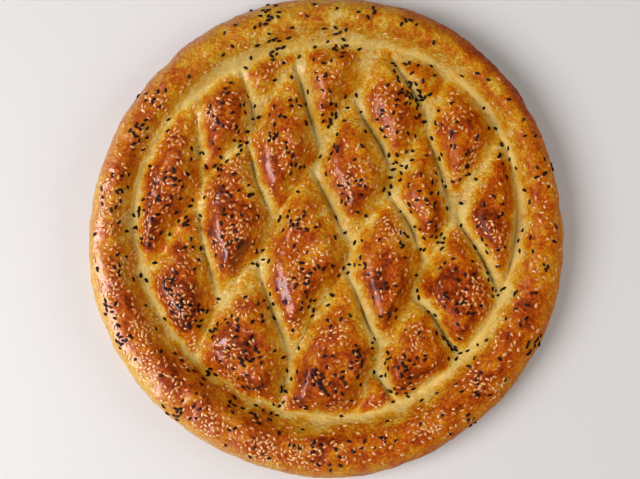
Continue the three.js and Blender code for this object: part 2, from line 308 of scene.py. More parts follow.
class PideShape(bpy.types.PropertyGroup):
    """Sizes of the loaf"""

    loaf_radius: length("Loaf radius", "Mean radius at the widest point of the side", LOAF_RADIUS)
    ring_radius: length("Ring radius", "Mean radius of the groove inside the rim", 111 * MM)
    rim_height: length("Rim height", "Crest of the rim above the table", 30 * MM)
    pillow_height: length("Pillow height", "Middle of a pillow above the table", 27 * MM)
    groove_height: length("Groove height", "Floor of a pressed groove above the table", 13 * MM)
    bulge_height: length("Bulge height", "Height at which the side is widest", 11 * MM)
    base_tuck: length("Base tuck", "How far the side curls in from there down to the base", 7 * MM)
    groove_reach: length("Groove reach", "From a groove's line to the shoulder of a pillow", 17 * MM)
    groove_pull: length(
        "Groove pull", "Corners of the grid this close to a groove move onto its line", 0.36 * MM)
    crease_lean: share("Crease lean", "How much gentler the far side of a crisp groove rises", 0.4)
    crease_depth: length("Crease depth", "Depth of the narrow crease along a crisp groove", 0.9 * MM)
    crease_width: length("Crease width", "Half width of that crease", 1.3 * MM)
    rim_crest: share(
        "Rim crest", "Place of the rim's crest, as a share of its width from the ring groove", 0.52)
    side_roundness: plain("Side roundness", "Superellipse power of the rim's outer flank", 2.05)
    ring_shallows: length(
        "Ring shallows", "How much higher the floor of the ring groove is at its shallow side", 5 * MM)
    ring_crispness: share(
        "Ring crispness", "How far the softest stretch of the ring groove is a crease", 0.08)
    soft_lift: share("Soft lift", "Share of the depth that the softest groove lacks", 0.16)
    long_axis: degrees("Long axis", "Direction of the pillows' long axis", 74.4)
    long_share: share(
        "Long share", "What a length along the long axis counts against one across it", 0.445)
    pillow_tilt: share(
        "Pillow tilt", "Share of its rise by which a pillow is lower at its far end", 0.26)
    tilt_reach: length("Tilt reach", "Distance along the long axis over which the tilt goes on", 45 * MM)


class PideBaking(bpy.types.PropertyGroup):
    """How the crust browned, from 0 for pale dough to 1 for the darkest tips"""

    pale_reach: length("Pale reach", "Width of the pale dough along a crisp groove", 5.3 * MM)
    # Painted light: the pale dough is wider on the flank that faces the lamp, so the lit side is lighter in
    # colour
    painted_light_lean: share("Pale lean", "Share by which it is wider on the side that faces the light", 0.6)
    soft_pale_reach: length("Soft pale reach", "Width of the pale dough along a soft groove", 3.6 * MM)
    soft_gilt: share(
        "Soft gilt", "Share of the crust's gold that the floor of the softest groove has", 0.5)
    brown_reach: length("Brown reach", "From a crisp groove's line to the browned crest", 9.5 * MM)
    brown_lean: share(
        "Brown lean", "Share by which that is farther on the side away from the light", 0.2)
    soft_brown_reach: length(
        "Soft brown reach", "From a soft groove's line to the browned crest", 12 * MM)
    brown_start: share("Brown start", "Share of that way at which the browning begins", 0.25)
    pillow_bake: share("Pillow bake", "Browning of a pillow inside its pale edge", 0.41)
    pillow_lean: share("Pillow lean", "How much more than that its near end has", 0.11)
    crest_bake: share("Crest bake", "What a pillow's crest has on top of that", 0.34)
    crest_lean: share("Crest lean", "How much more than that the near end of the crest has", 0.1)
    rim_bake: share("Rim bake", "Mean browning of the rim's crest", 0.53)
    rim_swing: share("Rim swing", "How much more than that its brownest side has", 0.19)
    rim_brown_side: degrees("Rim's brown side", "Angle of that side", -68)
    rim_crest_share: share("Rim crest share", "Share of the rim's browning that only its crest has", 0.5)
    rim_crest_fade: share("Rim crest fade", "Share of that which is lost on the outer flank", 0.9)
    flank_fade: share("Flank fade", "Share of the rest which is lost there", 0.3)
    flank_bake: share("Flank bake", "Browning that the outer flank has of its own", 0.2)
    foot_bake: share("Foot bake", "What the widest point of the side has on top of that", 0.08)
    tuck_bake: share("Tuck bake", "What the tuck under the side has on top of that", 0.3)
    slope_start: share(
        "Slope start", "Share of the rise of the rim's inner slope at which its gold begins", 0.04)
    slope_pale: share("Pale slope", "Share of that rise at which its gold is full", 0.34)


class PideSeeds(bpy.types.PropertyGroup):
    """Sizes and numbers of the seeds"""

    sesame_count: whole("Sesame", "Number of sesame seeds", 2050)
    handfuls: whole("Handfuls", "Number of places where it lies thickest", 76)
    sesame_size: millimetres("Sesame size", "Length, width and thickness", (2.85, 1.9, 1.05))
    nigella_count: whole("Nigella", "Number of nigella seeds, a few of which miss the loaf", 960)
    pinches: whole("Pinches", "Number of small clumps of nigella", 90)
    nigella_size: millimetres("Nigella size", "Length, width and thickness", (3.2, 2.1, 1.6))
    sunk: share("Sunk", "Share of its thickness that a seed is sunk into the crust", 0.3)
    seed: whole("Random seed", "Start of the random draws", 7)


class PideColours(bpy.types.PropertyGroup):
    """Colours of the loaf, its seeds and the stage"""

    dough: colour("Dough", "Pale dough in the grooves", from_screen(237, 207, 120))
    golden: colour("Golden", "Lightly baked crust", from_screen(230, 171, 34))
    amber: colour("Amber", "Well baked crust", from_screen(214, 120, 8))
    russet: colour("Russet", "Browned crust", from_screen(188, 75, 5))
    dark: colour("Dark", "Crust at the darkest tips", from_screen(116, 38, 3))
    # Painted shade: an olive colour mixed into the crust along the creases and groove floors, where shade
    # falls
    pressed: colour("Pressed", "Damp dough along the creases", from_screen(96, 68, 22))
    hearth: colour("Hearth", "Underside, baked on the stone", from_screen(196, 138, 66))
    flour: colour("Flour", "Flour left on the underside", from_screen(240, 226, 196))
    sesame_pale: colour("Pale sesame", "Sesame that kept its colour", from_screen(230, 174, 106))
    sesame_toasted: colour("Toasted sesame", "Sesame on well baked crust", from_screen(206, 118, 54))
    nigella: colour("Nigella", "Nigella seeds", from_screen(30, 12, 11))
    nigella_worn: colour("Worn nigella", "Nigella whose coat is worn", from_screen(96, 58, 50))
    floor: colour("Floor", "Floor under the loaf", from_screen(226, 224, 220))
    key_light: colour("Key light", "Tint of the main light and the low one", (0.97, 0.95, 1.0))
    fill_light: colour("Fill light", "Tint of the light opposite", (1.0, 0.98, 0.95))


class PideStage(bpy.types.PropertyGroup):
    """Floor, camera and light"""

    floor_width: length("Floor width", "Width of the floor", 8)
    camera_distance: length("Camera distance", "From the camera to the loaf", 0.8)
    camera_elevation: degrees("Camera elevation", "Camera above the horizon", 89)
    view_width: length("View width", "Width of the picture at the loaf", 377.4 * MM)
    aim: millimetres("Aim", "Point of the loaf in the middle of the picture", (-4.1, -1.5, 11))
    key_angle: degrees("Key angle", "Side that the main light and the low one come from", 195)
    key_elevation: degrees("Key elevation", "Main light above the horizon", 51)
    key_distance: length("Key distance", "From the main light to the loaf", 1.3)
    key_size: length("Key size", "Width of the main light", 0.85)
    key_power: watts("Key power", "Power of the main light", 16)
    glint_elevation: degrees(
        "Glint elevation", "Low light, seen only in the sheen of the crust, above the horizon", 19)
    glint_distance: length("Glint distance", "From the low light to the loaf", 1.2)
    glint_size: length("Glint size", "Width of the low light", 1.1)
    glint_power: watts("Glint power", "Power of the low light", 46)
    fill_place: millimetres("Fill place", "Light opposite, from the loaf", (1100, 100, 900))
    fill_size: length("Fill size", "Width of the light opposite", 1)
    fill_power: watts("Fill power", "Power of the light opposite", 6.4)
    sky: plain("Sky", "Strength of the light from all round", 0.2)


def smooth_rise(values, low=0, high=1):
    """0 up to the low value and 1 from the high one on, with a smooth rise between them."""
    t = np.clip((values - low) / (high - low), 0, 1)
    return t * t * (3 - 2 * t)


def shoulder(share_of_way, crispness):
    """Rise from a groove's line, 0, to the shoulder, 1: a crease where crisp, and a valley where soft."""
    t = np.clip(share_of_way, 0, 1)
    crease = (t * (2 - t)) ** CREASE_POWER
    return crispness * crease + (1 - crispness) * smooth_rise(t, *VALLEY_SPAN)


def by_side(angle, sides):
    """What the sides add at each angle: all of it at the side, and nothing a quarter turn away from it."""
    total = np.zeros_like(angle)
    for side, narrowness, most in sides:
        turned_to = np.clip(np.cos(angle - math.radians(side)), 0, 1)
        total += most * turned_to ** narrowness
    return total


def radius_of(points):
    return np.linalg.norm(points, axis=1)


def angle_of(points):
    return np.arctan2(points[:, 1], points[:, 0])


def on_circle(radius, angle):
    """Points at each radius and angle."""
    return radius[:, None] * np.stack((np.cos(angle), np.sin(angle)), axis=1)


def waves_round(angle, waves):
    return sum(size * MM * np.cos(count * (angle - math.radians(peak))) for count, size, peak in waves)


def waves_over(points, wave_length, waves):
    """Sum of the waves at each point."""
    x, y = (points / wave_length).T
    return sum(size * MM * np.sin(over_x * x + over_y * y + phase) for size, over_x, over_y, phase in waves)


def strayed(points, wave_length, along_x, along_y):
    """Points moved along X and Y by the waves."""
    moves = [waves_over(points, wave_length, waves) for waves in (along_x, along_y)]
    return points + np.stack(moves, axis=1)


def off_line(points):
    """Points moved about as by a hand that doesn't keep to straight lines."""
    return strayed(points, WOBBLE_LENGTH, WOBBLE_ALONG_X, WOBBLE_ALONG_Y)


def blotched(points):
    """Points moved about as the edges of the browning stray."""
    return strayed(points, BLOTCH_LENGTH, BLOTCH_ALONG_X, BLOTCH_ALONG_Y)


class LoafForm:
    """The loaf's skin as a formula on arrays of points, with what the crust's finish needs to know of each"""

    def __init__(self, scene):
        self.shape = scene.pide_shape
        self.baking = scene.pide_baking
        self.seats = PILLOWS[:, :2] * MM
        self.browning = PILLOWS[:, 2]
        flank_width = PILLOWS[:, 3, None]
        self.axis = np.array((math.cos(self.shape.long_axis), math.sin(self.shape.long_axis)))
        across = self.shortened(self.seats[None, :, :] - self.seats[:, None, :])
        self.spans = np.linalg.norm(across, axis=2)
        np.fill_diagonal(self.spans, 1)
        self.normals = across / self.spans[:, :, None]
        # Grooves that run down to the right are crisp creases, and those that run up to it soft valleys
        east = self.normals[:, :, 0]
        north = self.normals[:, :, 1]
        self.crispness = 0.5 + east * north
        lean = self.shape.crease_lean
        self.steepness = self.crispness * (1 + lean * east) / (1 + lean)
        # Painted light: pale dough reaches farther on the flank that faces the lamp
        crisp_reach = self.baking.pale_reach * (1 - self.baking.painted_light_lean * east)
        self.pale_reach = flank_width * self.by_crispness(self.baking.soft_pale_reach, crisp_reach)
        crisp_reach = self.baking.brown_reach * (1 + self.baking.brown_lean * east)
        self.brown_reach = self.by_crispness(self.baking.soft_brown_reach, crisp_reach)
        self.gilt = self.baking.soft_gilt * (1 - self.crispness)
        self.lift = self.shape.soft_lift * (1 - self.crispness)
        for (one, other), share_missing in FAINT_GROOVES.items():
            self.lift[one, other] = self.lift[other, one] = share_missing

    def by_crispness(self, soft, crisp):
        return soft + (crisp - soft) * self.crispness

    def shortened(self, vectors):
        """Vectors with their share along the long axis shortened, once for each side of a dot product."""
        along = vectors @ self.axis
        return vectors + along[..., None] * self.axis * (self.shape.long_share ** 2 - 1)

    def ring_radius(self, angle):
        return self.shape.ring_radius + waves_round(angle, RING_WAVES)

    def outer_radius(self, angle):
        return self.shape.loaf_radius + waves_round(angle, OUTLINE_WAVES)

    def ring_crispness(self, angle):
        """How far the ring groove is a crease and not a valley."""
        return self.shape.ring_crispness + by_side(angle, RING_CRISP_SIDES)

    def groove_floor(self, points, angle):
        """Height of the floor of the grooves, which is higher where the ring groove is shallow."""
        near_ring = smooth_rise(radius_of(points) / self.ring_radius(angle), *SHALLOW_SPAN)
        shallows = self.shape.ring_shallows * by_side(angle, RING_SHALLOW_SIDES)
        return self.shape.groove_height + shallows * near_ring

    def cells(self, points):
        """Each point's own pillow, and its distance from the groove between that and every other pillow."""
        offsets = off_line(points)[:, None, :] - self.seats[None, :, :]
        squares = np.einsum("ijk,ijk->ij", offsets, self.shortened(offsets))
        own = squares.argmin(axis=1)
        rows = np.arange(len(points))
        gaps = (squares - squares[rows, own][:, None]) / (2 * self.spans[own])
        gaps[rows, own] = np.inf
        return own, gaps

    def drawn_to_groove(self, points):
        """Points that lie close to a groove, moved onto its line."""
        own, gaps = self.cells(points)
        nearest = gaps.argmin(axis=1)
        gap = gaps[np.arange(len(points)), nearest]
        step = np.where(gap < self.shape.groove_pull, gap, 0)
        return points + self.normals[own, nearest] * step[:, None]

    def field(self, points, angle):
        """Height, browning and painted shade of points on the pillows and in the grooves between them."""
        shape = self.shape
        own, gaps = self.cells(points)
        lift = self.lift[own]
        from_ring = (self.ring_radius(angle) - radius_of(points)) / shape.groove_reach
        rises = lift + (1 - lift) * shoulder(gaps / shape.groove_reach, self.steepness[own])
        rise = rises.prod(axis=1) * shoulder(from_ring, self.ring_crispness(angle))
        creases = np.exp(-(gaps / shape.crease_width) ** 2) * self.crispness[own] * (1 - lift)
        crease = creases.max(axis=1) * smooth_rise(from_ring, *CREASE_SPAN)
        near_end = np.clip((self.seats[own] - points) @ self.axis / shape.tilt_reach, -1, 1)
        floor = self.groove_floor(points, angle)
        height = floor - shape.crease_depth * crease
        height += (shape.pillow_height - floor) * rise * (1 + shape.pillow_tilt * near_end)
        gold, bake = self.field_bake(points, angle, near_end)
        # Painted shade: darker along the crisp creases and on the pale floor of the ring groove at some sides
        return height, bake, crease + by_side(angle, RING_PAINTED_SHADE_SIDES) * (1 - gold)

    def field_bake(self, points, angle, near_end):
        """Gold and browning of those points, the edges of which stray a little from the grooves."""
        baking = self.baking
        own, gaps = self.cells(blotched(points))
        from_ring = np.maximum(self.ring_radius(angle) - radius_of(blotched(points)), 0)
        gilt = self.gilt[own]
        gold = (gilt + (1 - gilt) * smooth_rise(gaps / self.pale_reach[own])).prod(axis=1)
        ring_pale_reach = baking.pale_reach * (1 + by_side(angle, RING_PALE_SIDES))
        gold = gold * smooth_rise(from_ring / ring_pale_reach)
        brown = smooth_rise(gaps / self.brown_reach[own], low=baking.brown_start).prod(axis=1)
        brown = brown * smooth_rise(from_ring / baking.brown_reach, low=baking.brown_start)
        bake = baking.pillow_bake + baking.pillow_lean * near_end
        bake += brown * (baking.crest_bake + baking.crest_lean * near_end)
        bake *= self.browning[own] * gold
        near_ring = 1 - smooth_rise(from_ring / self.shape.groove_reach)
        return gold, bake + by_side(angle, RING_BROWN_SIDES) * near_ring

    def rim(self, points, across, angle):
        """Height and browning of the rim at shares of its width, from the ring groove to the widest point."""
        shape = self.shape
        floor = self.groove_floor(points, angle)
        inner = shoulder(across / shape.rim_crest, self.ring_crispness(angle))
        out = np.clip((across - shape.rim_crest) / (1 - shape.rim_crest), 0, 1)
        outer = (1 - out ** shape.side_roundness) ** (1 / shape.side_roundness)
        height = np.where(
            across < shape.rim_crest,
            floor + (shape.rim_height - floor) * inner,
            shape.bulge_height + (shape.rim_height - shape.bulge_height) * outer,
        )
        return height, self.rim_bake(points, angle, inner, out)

    def rim_bake(self, points, angle, inner, out):
        """Browning of the rim at shares of its inner slope's rise and of its outer flank's width."""
        baking = self.baking
        strays = radius_of(blotched(points)) - radius_of(points)
        pale = baking.slope_pale + by_side(angle, SLOPE_PALE_SIDES)
        slope = smooth_rise(inner + SLOPE_STRAY * strays, baking.slope_start, pale)
        fade = (baking.flank_fade + by_side(angle, FLANK_FADE_SIDES)) * smooth_rise(out, *FLANK_FADE_SPAN)
        crest_fade = baking.rim_crest_fade * smooth_rise(out, *CREST_END_SPAN)
        crest = smooth_rise(inner, *CREST_SPAN) * (1 - crest_fade)
        most = baking.rim_bake + baking.rim_swing * np.cos(angle - baking.rim_brown_side)
        crest_share = baking.rim_crest_share
        bake = most * ((1 - crest_share) * slope * (1 - fade) + crest_share * crest)
        bake += (baking.flank_bake + by_side(angle, FLANK_BROWN_SIDES)) * smooth_rise(out, *FLANK_BROWN_SPAN)
        bake += by_side(angle, SCORCHED_SIDES) * smooth_rise(out, *SCORCHED_SPAN)
        bake += baking.foot_bake * smooth_rise(out, *FOOT_SPAN)
        bake += by_side(angle, SLOPE_BROWN_SIDES) * slope * (1 - smooth_rise(out, *SLOPE_END_SPAN))
        bake += by_side(angle, CREST_BROWN_SIDES) * inner
        return bake + by_side(angle, RING_BROWN_SIDES) * (1 - inner)

    def top_finish(self, points):
        """Browning of any points inside the outline, and painted shade of those inside the ring groove."""
        angle = angle_of(points)
        inner = self.ring_radius(angle)
        from_ring = radius_of(points) - inner
        _, bake, damp = self.field(points, angle)
        _, rim_bake = self.rim(points, from_ring / (self.outer_radius(angle) - inner), angle)
        return np.where(from_ring > 0, rim_bake, bake), np.where(from_ring > 0, 0, damp)

    def skin(self, ring, angle):
        """Points of the skin on rings counted from the middle of the top to the base, and their finish."""
        shape = self.shape
        inner = self.ring_radius(angle)
        outer = self.outer_radius(angle)
        # The rim's rings lie closest together at the ring groove and at the widest point
        rim_share = np.clip((ring - FIELD_RINGS) / RIM_RINGS, 0, 1)
        across = (1 - np.cos(math.pi * rim_share)) / 2
        turn = math.pi / 2 * np.clip((ring - FIELD_RINGS - RIM_RINGS) / TUCK_RINGS, 0, 1)
        in_field = ring < FIELD_RINGS
        tucked = ring > FIELD_RINGS + RIM_RINGS
        under = np.where(tucked, np.sin(turn), 0)
        radius = np.where(in_field, inner * ring / FIELD_RINGS, inner + (outer - inner) * across)
        points = on_circle(radius - shape.base_tuck * (1 - np.cos(turn)), angle)
        points[in_field] = self.drawn_to_groove(points[in_field])
        height, bake, damp = self.field(points, angle_of(points))
        rim_height, rim_bake = self.rim(points, across, angle)
        height = np.where(in_field, height, rim_height)
        height = np.where(tucked, shape.bulge_height * (1 - np.sin(turn)), height)
        bake = np.where(in_field, bake, rim_bake) + self.baking.tuck_bake * under
        past_ring = smooth_rise(across, *RING_END_SPAN)
        # Painted shade on the rim beside the ring groove and on the rim's top side
        rim_painted_shade = by_side(angle, RING_PAINTED_SHADE_SIDES) * (1 - past_ring)
        rim_painted_shade += by_side(angle, RIM_PAINTED_SHADE_SIDES) * past_ring * (1 - under)
        finish = {
            "bake": bake,
            "damp": np.where(in_field, damp, rim_painted_shade),
            "under": under,
            # From the rim's crest to halfway down its outer flank
            "outward": smooth_rise(across, shape.rim_crest, (1 + shape.rim_crest) / 2),
        }
        return np.column_stack((points, height)), finish


def ring_and_angle(corners):
    """Square ring and angle of a grid's corners, so that each square ring becomes a circle."""
    x, y = corners[:, 0], corners[:, 1]
    ring = np.maximum(abs(x), abs(y))
    sideways = abs(x) >= abs(y)
    longer = np.where(sideways, x, y)
    ratio = np.divide(np.where(sideways, y, x), longer, out=np.zeros_like(x), where=ring > 0)
    angle = np.where(sideways, ratio, 2 - ratio) * math.pi / 4
    return ring, angle + np.where(longer < 0, math.pi, 0)


def coordinates(mesh):
    values = np.empty(len(mesh.vertices) * 3)
    mesh.vertices.foreach_get("co", values)
    return values.reshape(-1, 3)


def store(mesh, name, values):
    """Keeps one number for each vertex, for the finish to read."""
    attribute = mesh.attributes.new(name, "FLOAT", "POINT")
    attribute.data.foreach_set("value", values.astype(np.float32))


def add_grid(name, rings):
    """A grid whose corners stand at whole numbers of rings from its middle, alone in the selection."""
    bpy.ops.object.select_all(action="DESELECT")
    bpy.ops.mesh.primitive_grid_add(x_subdivisions=2 * rings, y_subdivisions=2 * rings, size=2 * rings)
    grid = bpy.context.object
    grid.name = grid.data.name = name
    return grid, coordinates(grid.data).round()


def add_weights(piece, name, weights):
    group = piece.vertex_groups.new(name=name)
    for index, weight in enumerate(weights.tolist()):
        group.add([index], weight, "REPLACE")


def add_relief(piece, name, size, strength, depth):
    """Cloudy relief applied to the mesh: upwards on the top, and along the normals on the side."""
    texture = bpy.data.textures.new(name, "CLOUDS")
    texture.noise_scale = size
    texture.noise_depth = depth
    for group, direction in (("top", "Z"), ("side", "NORMAL")):
        modifier = piece.modifiers.new(name, "DISPLACE")
        modifier.texture = texture
        modifier.texture_coords = "LOCAL"
        modifier.direction = direction
        modifier.strength = strength
        modifier.vertex_group = group
        bpy.ops.object.modifier_apply(modifier=modifier.name)


class Socket:
    """An output of a node that Python expressions can use: each operator adds a Math node"""

    def __init__(self, finish, output):
        self.finish = finish
        self.output = output

    def maths(self, operation, *values):
        return self.finish.node("ShaderNodeMath", {"operation": operation}, dict(enumerate(values)))

    def __add__(self, other):
        return self.maths("ADD", self, other)

    def __sub__(self, other):
        return self.maths("SUBTRACT", self, other)

    def __rsub__(self, other):
        return self.maths("SUBTRACT", other, self)

    def __mul__(self, other):
        return self.maths("MULTIPLY", self, other)

    __radd__ = __add__
    __rmul__ = __mul__

    def between(self, low, high):
        """0 at low and 1 at high, with a smooth rise."""
        settings = {"interpolation_type": "SMOOTHSTEP"}
        sockets = {"Value": self, "From Min": low, "From Max": high}
        return self.finish.node("ShaderNodeMapRange", settings, sockets)

    def swing(self):
        """Values from 0 to 1, moved to lie evenly about 0."""
        return self - 0.5


class Finish:
    """A material in the making"""

    def __init__(self, name):
        self.material = bpy.data.materials.new(name)
        self.material.use_nodes = True
        self.tree = self.material.node_tree
        self.shader = self.tree.nodes["Principled BSDF"]
        self.place = self.node("ShaderNodeTexCoord", output="Object")

    def node(self, kind, settings=None, sockets=None, output=0):
        """A new node's output, after its settings and then its sockets have their values or links."""
        node = self.tree.nodes.new(kind)
        for name, value in (settings or {}).items():
            if name == "stops":
                self.set_stops(node.color_ramp, value)
            else:
                setattr(node, name, value)
        for key, value in (sockets or {}).items():
            self.feed(node.inputs[key], value)
        return Socket(self, node.outputs[output])

    def feed(self, socket, value):
        if isinstance(value, Socket):
            self.tree.links.new(value.output, socket)
        else:
            socket.default_value = value

    def set_stops(self, ramp, stops):
        while len(ramp.elements) < len(stops):
            ramp.elements.new(1)
        for element, (position, value) in zip(ramp.elements, stops):
            element.position = position
            element.color = (*value, 1)

    def surface(self, **inputs):
        """Feeds the shader's own sockets, named with underscores for spaces."""
        for name, value in inputs.items():
            self.feed(self.shader.inputs[name.replace("_", " ")], value)

    def attribute(self, name):
        return self.node("ShaderNodeAttribute", {"attribute_name": name}, output="Fac")

    def noise(self, size, detail, roughness=0.5, distortion=0.0):
        """Cloudy values from 0 to 1 with features of a size in metres."""
        sockets = {"Vector": self.place, "Scale": 1 / size, "Detail": detail, "Roughness": roughness,
                   "Distortion": distortion}
        return self.node("ShaderNodeTexNoise", None, sockets, "Fac")

    def cells(self, size):
        """Distance from the middles of scattered cells of a size in metres."""
        sockets = {"Vector": self.place, "Scale": 1 / size}
        return self.node("ShaderNodeTexVoronoi", {"feature": "SMOOTH_F1"}, sockets, "Distance")

    def mix(self, factor, one, other):
        """A colour between two."""
        sockets = {0: factor, 6: self.as_colour(one), 7: self.as_colour(other)}
        return self.node("ShaderNodeMix", {"data_type": "RGBA"}, sockets, 2)

    def as_colour(self, value):
        return value if isinstance(value, Socket) else (*value, 1)

    def ramp(self, factor, stops):
        return self.node("ShaderNodeValToRGB", {"stops": stops}, {"Fac": factor}, "Color")

    def bump(self, height, distance, strength):
        sockets = {"Height": height, "Distance": distance, "Strength": strength}
        return self.node("ShaderNodeBump", None, sockets, "Normal")


def crust_finish(colours):
    """Egg-washed crust: pale in the grooves, browned on the crests, floured underneath."""
    finish = Finish("baked_crust")
    bake = finish.attribute("bake")
    clouds = finish.noise(*CLOUDS).between(*NOISE_SPAN)
    mottle = finish.noise(*MOTTLE).between(*NOISE_SPAN)
    grain = finish.noise(*GRAIN).between(*NOISE_SPAN)

    browned = bake.between(*CRUST_SPAN)
    coarse = DOUGH_COARSENESS + browned * (1 - DOUGH_COARSENESS)
    uneven = browned * (1 - finish.attribute("outward") * FLANK_EVENNESS)
    patches = clouds.swing() * CLOUD_BROWNING + mottle.swing() * MOTTLE_BROWNING
    brown = bake + uneven * patches + grain.swing() * coarse * GRAIN_BROWNING
    browns = (colours.dough, colours.golden, colours.amber, colours.russet, colours.dark)
    crust = finish.ramp(brown, tuple(zip(COLOUR_STOPS, browns)))
    # Painted shade: the crust turns towards the pressed colour where its painted shade is high
    shaded = finish.mix(finish.attribute("damp") * PAINTED_SHADE_DEPTH, crust, colours.pressed)

    dusting = finish.noise(*DUSTING).between(*DUSTING_SPAN)
    scorch = finish.noise(*SCORCH).between(*SCORCH_SPAN)
    scorched = finish.mix(scorch * SCORCH_COVER, colours.hearth, colours.russet)
    floured = finish.mix(dusting * FLOUR_COVER, scorched, colours.flour)

    across = finish.node("ShaderNodeSeparateXYZ", None, {"Vector": finish.place}, "X")
    wash = THIN_WASH + across.between(*WASH_SPAN) * (1 - THIN_WASH)
    patchy = PATCHY_WASH + (clouds + mottle) * ((1 - PATCHY_WASH) / 2)
    relief = mottle * MOTTLE_HEIGHT + grain * GRAIN_HEIGHT + finish.cells(BLISTER_SIZE) * BLISTER_HEIGHT
    finish.surface(
        Base_Color=finish.mix(finish.attribute("under").between(*HEARTH_SPAN), shaded, floured),
        Roughness=CRUST_ROUGHNESS + grain.swing() * GRAIN_ROUGHNESS,
        Coat_Weight=wash * patchy,
        Coat_Roughness=WASH_ROUGHNESS,
        Specular_IOR_Level=CRUST_SHINE,
        Normal=finish.bump(relief * coarse, *CRUST_BUMP),
    )
    return finish.material


def sesame_finish(colours):
    """Thin smooth seed coats, more toasted on some seeds than on others."""
    finish = Finish("toasted_sesame")
    streaks = finish.noise(*SESAME_STREAKS)
    toast = finish.attribute("tone") + streaks.swing() * STREAK_TOAST
    finish.surface(
        Base_Color=finish.mix(toast.between(*TOAST_SPAN), colours.sesame_pale, colours.sesame_toasted),
        Roughness=SESAME_ROUGHNESS + streaks * STREAK_ROUGHNESS,
        Specular_IOR_Level=SESAME_SHINE,
        Normal=finish.bump(streaks, *SESAME_BUMP),
    )
    return finish.material


def nigella_finish(colours):
    """Matte black seed coats with fine wrinkles."""
    finish = Finish("black_nigella")
    wrinkles = finish.noise(*NIGELLA_WRINKLES)
    worn = finish.attribute("tone") * TONE_WEAR + wrinkles * WRINKLE_WEAR
    finish.surface(
        Base_Color=finish.mix(worn, colours.nigella, colours.nigella_worn),
        Roughness=NIGELLA_ROUGHNESS + wrinkles * WRINKLE_ROUGHNESS,
        Specular_IOR_Level=NIGELLA_SHINE,
        Normal=finish.bump(wrinkles, *NIGELLA_BUMP),
    )
    return finish.material


def floor_finish(colours):
    """Plain pale floor with a faint cloudiness."""
    finish = Finish("pale_floor")
    cloudy = finish.noise(*FLOOR_CLOUDS)
    darker = tuple(FLOOR_SHADE * value for value in colours.floor)
    finish.surface(
        Base_Color=finish.mix(cloudy, colours.floor, darker),
        Roughness=FLOOR_ROUGHNESS + cloudy * CLOUD_ROUGHNESS,
    )
    return finish.material


def dress(piece, material):
    """Gives a finished piece its material and its body."""
    piece.data.materials.clear()
    piece.data.materials.append(material)
    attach(piece, BODY)


class PIDE_OT_bake_loaf(bpy.types.Operator):
    """Wraps a grid over the loaf's top and side, closes it with a flat base and gives it crust"""

    bl_idname = "pide.bake_loaf"
    bl_label = "Bake the loaf"

    def execute(self, context):
        form = LoafForm(context.scene)
        loaf, corners = add_grid("loaf_crust", SKIN_RINGS)
        points, finish = form.skin(*ring_and_angle(corners))
        loaf.data.vertices.foreach_set("co", points.ravel())
        for name, values in finish.items():
            store(loaf.data, name, values)
        add_weights(loaf, "top", 1 - finish["outward"])
        add_weights(loaf, "side", SIDE_RELIEF * finish["outward"] * (1 - finish["under"]))

        bpy.ops.object.mode_set(mode="EDIT")
        bpy.ops.mesh.select_mode(type="EDGE")
        bpy.ops.mesh.select_all(action="DESELECT")
        bpy.ops.mesh.select_non_manifold()
        bpy.ops.mesh.edge_face_add()
        bpy.ops.mesh.inset(thickness=BASE_EDGE)
        bpy.ops.mesh.select_all(action="SELECT")
        bpy.ops.mesh.normals_make_consistent(inside=False)
        bpy.ops.object.mode_set(mode="OBJECT")
        for relief in RELIEFS:
            add_relief(loaf, *relief)
        bpy.ops.object.shade_smooth()
        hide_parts(NODE)
        dress(loaf, crust_finish(context.scene.pide_colours))
        return {"FINISHED"}


def seed_template(segments, rings, taper, underside):
    """Corners and faces of one seed of length, width and thickness 1, lying along X, tapered towards +X."""
    bpy.ops.object.select_all(action="DESELECT")
    bpy.ops.mesh.primitive_uv_sphere_add(segments=segments, ring_count=rings, radius=SEED_RADIUS)
    seed = bpy.context.object
    mesh = seed.data
    points = coordinates(mesh)
    faces = [tuple(polygon.vertices) for polygon in mesh.polygons]
    bpy.data.objects.remove(seed)
    bpy.data.meshes.remove(mesh)
    along = points[:, 2]
    narrow = 1 - taper * (along + SEED_RADIUS) ** TAPER_POWER
    wide = points[:, 0] * narrow
    thick = np.maximum(points[:, 1] * narrow, -SEED_RADIUS * underside)
    return np.column_stack((along, wide, thick)), faces


